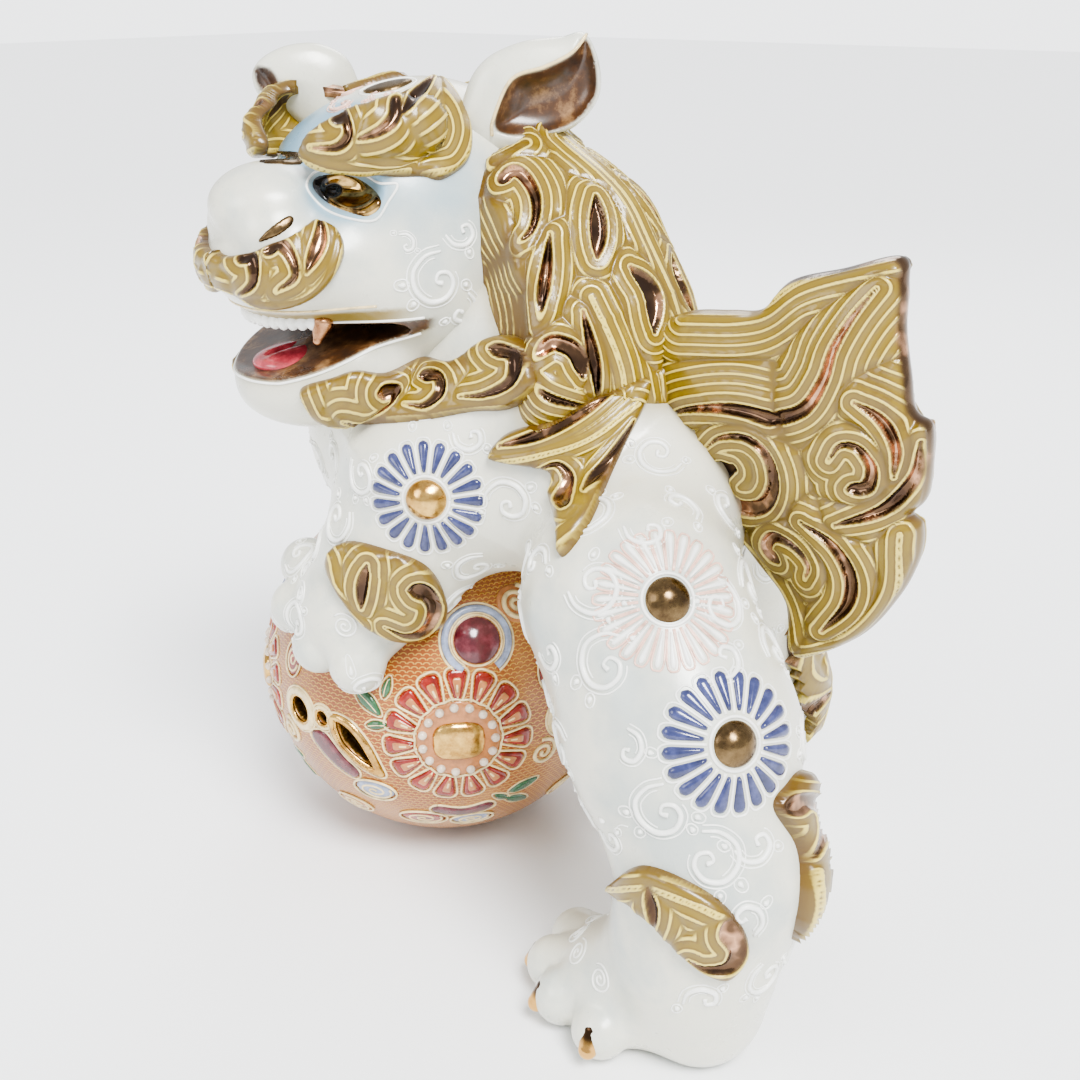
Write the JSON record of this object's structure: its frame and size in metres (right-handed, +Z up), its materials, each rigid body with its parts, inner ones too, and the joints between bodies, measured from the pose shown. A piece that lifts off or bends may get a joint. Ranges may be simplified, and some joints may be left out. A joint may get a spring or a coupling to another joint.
{
  "type": "foo dog statue",
  "caption": "Guardian lion figure with its forepaws on a pierced ball, head turned to its left, with a fan tail and enamel flower reliefs.",
  "frame": {"origin": "middle of the figure's box, on the surface that it stands on", "axes": "+Z up, -Y the way the lion's body faces, +X its left side, towards which the head turns"},
  "size_m": [0.1872, 0.254, 0.2893],
  "materials": {
    "white_glaze": "off-white crackled glaze, satin gloss",
    "khaki_enamel": "khaki-gold enamel with raised cream lines",
    "bronze_lustre": "dark bronze metal lustre, glossy",
    "gold_lustre": "bright gold lustre, glossy",
    "blue_enamel": "slate-blue raised enamel",
    "pink_enamel": "pinkish-white raised enamel",
    "red_enamel": "red-orange raised enamel",
    "ball_ground": "orange-tan ground with fine raised gold scale lines",
    "maroon_enamel": "maroon raised enamel, glossy",
    "tongue_enamel": "red enamel, satin"
  },
  "bodies": {
    "root": {"ball_shell": "ball_ground", "ball_medallion_petals": "red_enamel", "ball_medallion_bosses": "gold_lustre", "ball_pearls": "pink_enamel", "ball_piercing_rims": "gold_lustre", "ball_cabochons": "maroon_enamel", "body_shell": "white_glaze", "mane": "khaki_enamel", "left_mane_locks": "khaki_enamel", "right_mane_locks": "khaki_enamel", "left_front_leg": "white_glaze", "right_front_leg": "white_glaze", "left_hind_leg": "white_glaze", "right_hind_leg": "white_glaze", "tail": "khaki_enamel", "head_shell": "white_glaze", "lower_jaw": "white_glaze", "left_ear": "white_glaze", "right_ear": "white_glaze", "left_brow": "khaki_enamel", "right_brow": "khaki_enamel", "left_moustache": "khaki_enamel", "right_moustache": "khaki_enamel", "left_beard": "khaki_enamel", "right_beard": "khaki_enamel", "left_eye": "gold_lustre", "right_eye": "gold_lustre", "tongue": "tongue_enamel", "upper_teeth": "white_glaze", "fangs": "gold_lustre", "left_wrist_tuft": "khaki_enamel", "right_wrist_tuft": "khaki_enamel", "left_ankle_tuft": "khaki_enamel", "right_ankle_tuft": "khaki_enamel", "left_hock_tuft": "khaki_enamel", "right_hock_tuft": "khaki_enamel", "left_claws": "bronze_lustre", "right_claws": "bronze_lustre", "left_shoulder_petals": "blue_enamel", "left_shoulder_boss": "gold_lustre", "left_hip_petals": "pink_enamel", "left_hip_boss": "bronze_lustre", "left_knee_petals": "blue_enamel", "left_knee_boss": "bronze_lustre", "right_shoulder_petals": "blue_enamel", "right_shoulder_boss": "gold_lustre", "right_hip_petals": "pink_enamel", "right_hip_boss": "bronze_lustre", "right_knee_petals": "blue_enamel", "right_knee_boss": "bronze_lustre"}
  },
  "joints": []
}
